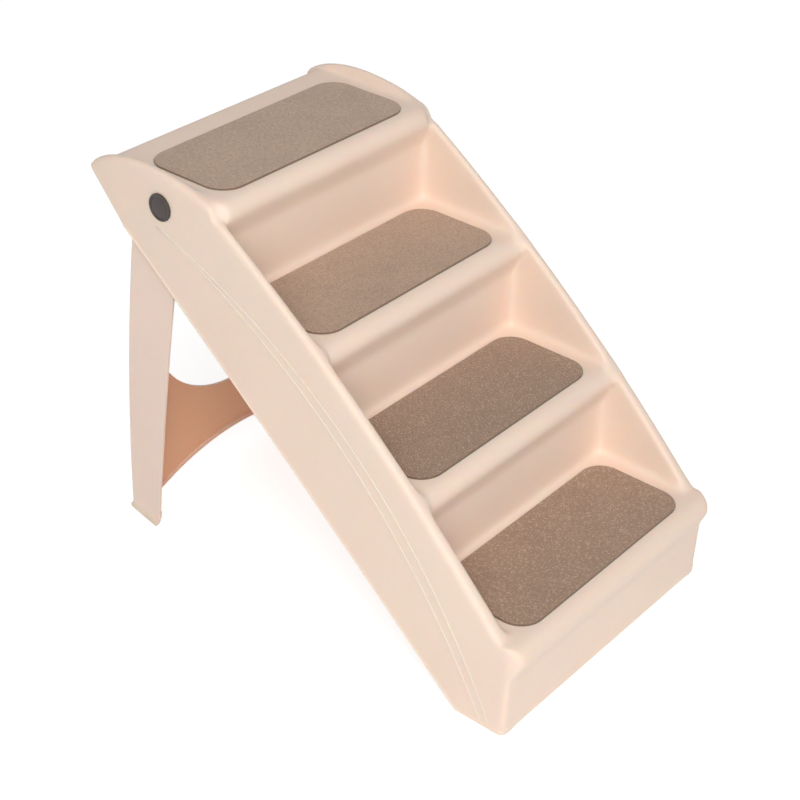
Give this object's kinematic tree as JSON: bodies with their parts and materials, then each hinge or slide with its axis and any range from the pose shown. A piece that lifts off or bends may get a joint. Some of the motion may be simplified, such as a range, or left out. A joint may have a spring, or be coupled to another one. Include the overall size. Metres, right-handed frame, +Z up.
{
  "type": "folding pet stairs",
  "caption": "Moulded pet stairs with carpeted treads between raised side rims, and a hinged rear leg that folds up under the steps.",
  "frame": {"origin": "on the floor, under the middle of the stairs' outline", "axes": "+Y runs from the lowest step to the top platform, +Z is up, and X runs across the stairs; left is -X"},
  "size_m": [0.4028, 0.6597, 0.5246],
  "materials": {
    "shell": "fine matte moulded texture, peach beige",
    "leg": "fine matte moulded texture, peach beige",
    "carpet": "short felt pile, taupe",
    "dark_plastic": "satin, very dark brown",
    "steel": "zinc plated",
    "rubber": "matte",
    "beige_rubber": "matte, near the leg's own colour"
  },
  "bodies": {
    "shell": {"step_shell": "shell", "tread_pad_1": "carpet", "tread_pad_2": "carpet", "tread_pad_3": "carpet", "tread_pad_4": "carpet", "hinge_plug_left": "dark_plastic", "hinge_plug_right": "dark_plastic", "hinge_washer_left": "dark_plastic", "hinge_washer_right": "dark_plastic", "hinge_retainer_left": "dark_plastic", "hinge_retainer_right": "dark_plastic", "retainer_screw_left": "steel", "retainer_screw_right": "steel", "front_foot_left": "rubber", "front_foot_right": "rubber", "latch_screw": "steel"},
    "leg": {"rear_leg": "leg", "leg_foot_left": "beige_rubber", "leg_foot_right": "beige_rubber"},
    "latch": {"storage_latch": "dark_plastic"}
  },
  "joints": [
    {"name": "leg_fold", "type": "hinge", "parent": "shell", "child": "leg", "pos_m": [0, 0.21, 0.4795], "axis": [-1, 0, 0], "range_deg": [0, 54.4]},
    {"name": "latch_turn", "type": "hinge", "parent": "shell", "child": "latch", "pos_m": [0, -0.14777, 0.10129], "axis": [0, -0.6502, 0.7598], "range_deg": [0, 90]}
  ]
}
